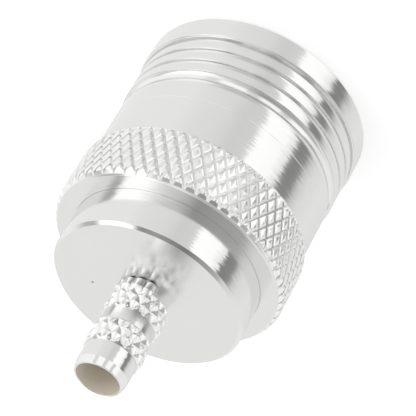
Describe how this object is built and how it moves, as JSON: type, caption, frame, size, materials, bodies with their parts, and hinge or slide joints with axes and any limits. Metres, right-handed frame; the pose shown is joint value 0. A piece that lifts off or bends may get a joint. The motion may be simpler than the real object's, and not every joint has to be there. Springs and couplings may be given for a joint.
{
  "type": "n connector",
  "caption": "Straight coaxial plug with a knurled, ribbed coupling nut that spins on a turned body with a hollow knurled crimp stem for the cable.",
  "frame": {"origin": "centre of the coupling nut's flat mating rim, on which the connector stands", "axes": "+Z along the connector's axis from the mating end to the cable end; X and Y are equal directions across it"},
  "size_m": [0.0208, 0.0208, 0.0316],
  "materials": {
    "nut_plating": "silver-coloured plating over turned brass, bright, with fine turning marks",
    "body_plating": "silver-coloured plating over turned brass, bright, mirror-like rear face",
    "spring_bronze": "bare spring bronze",
    "contact_plating": "silver-coloured plating, satin",
    "white_insulator": "white fluoropolymer, satin",
    "pin_gold": "gold plating over brass",
    "gasket_rubber": "matt silicone rubber"
  },
  "bodies": {
    "plug": {"body": "body_plating", "retaining_ring": "spring_bronze", "outer_contact": "contact_plating", "insulator": "white_insulator", "centre_pin": "pin_gold", "gasket": "gasket_rubber"},
    "nut": {"coupling_nut": "nut_plating"}
  },
  "joints": [
    {"name": "nut_spin", "type": "hinge", "parent": "plug", "child": "nut", "pos_m": [0, 0, 0], "axis": [0, 0, 1], "continuous": true}
  ]
}
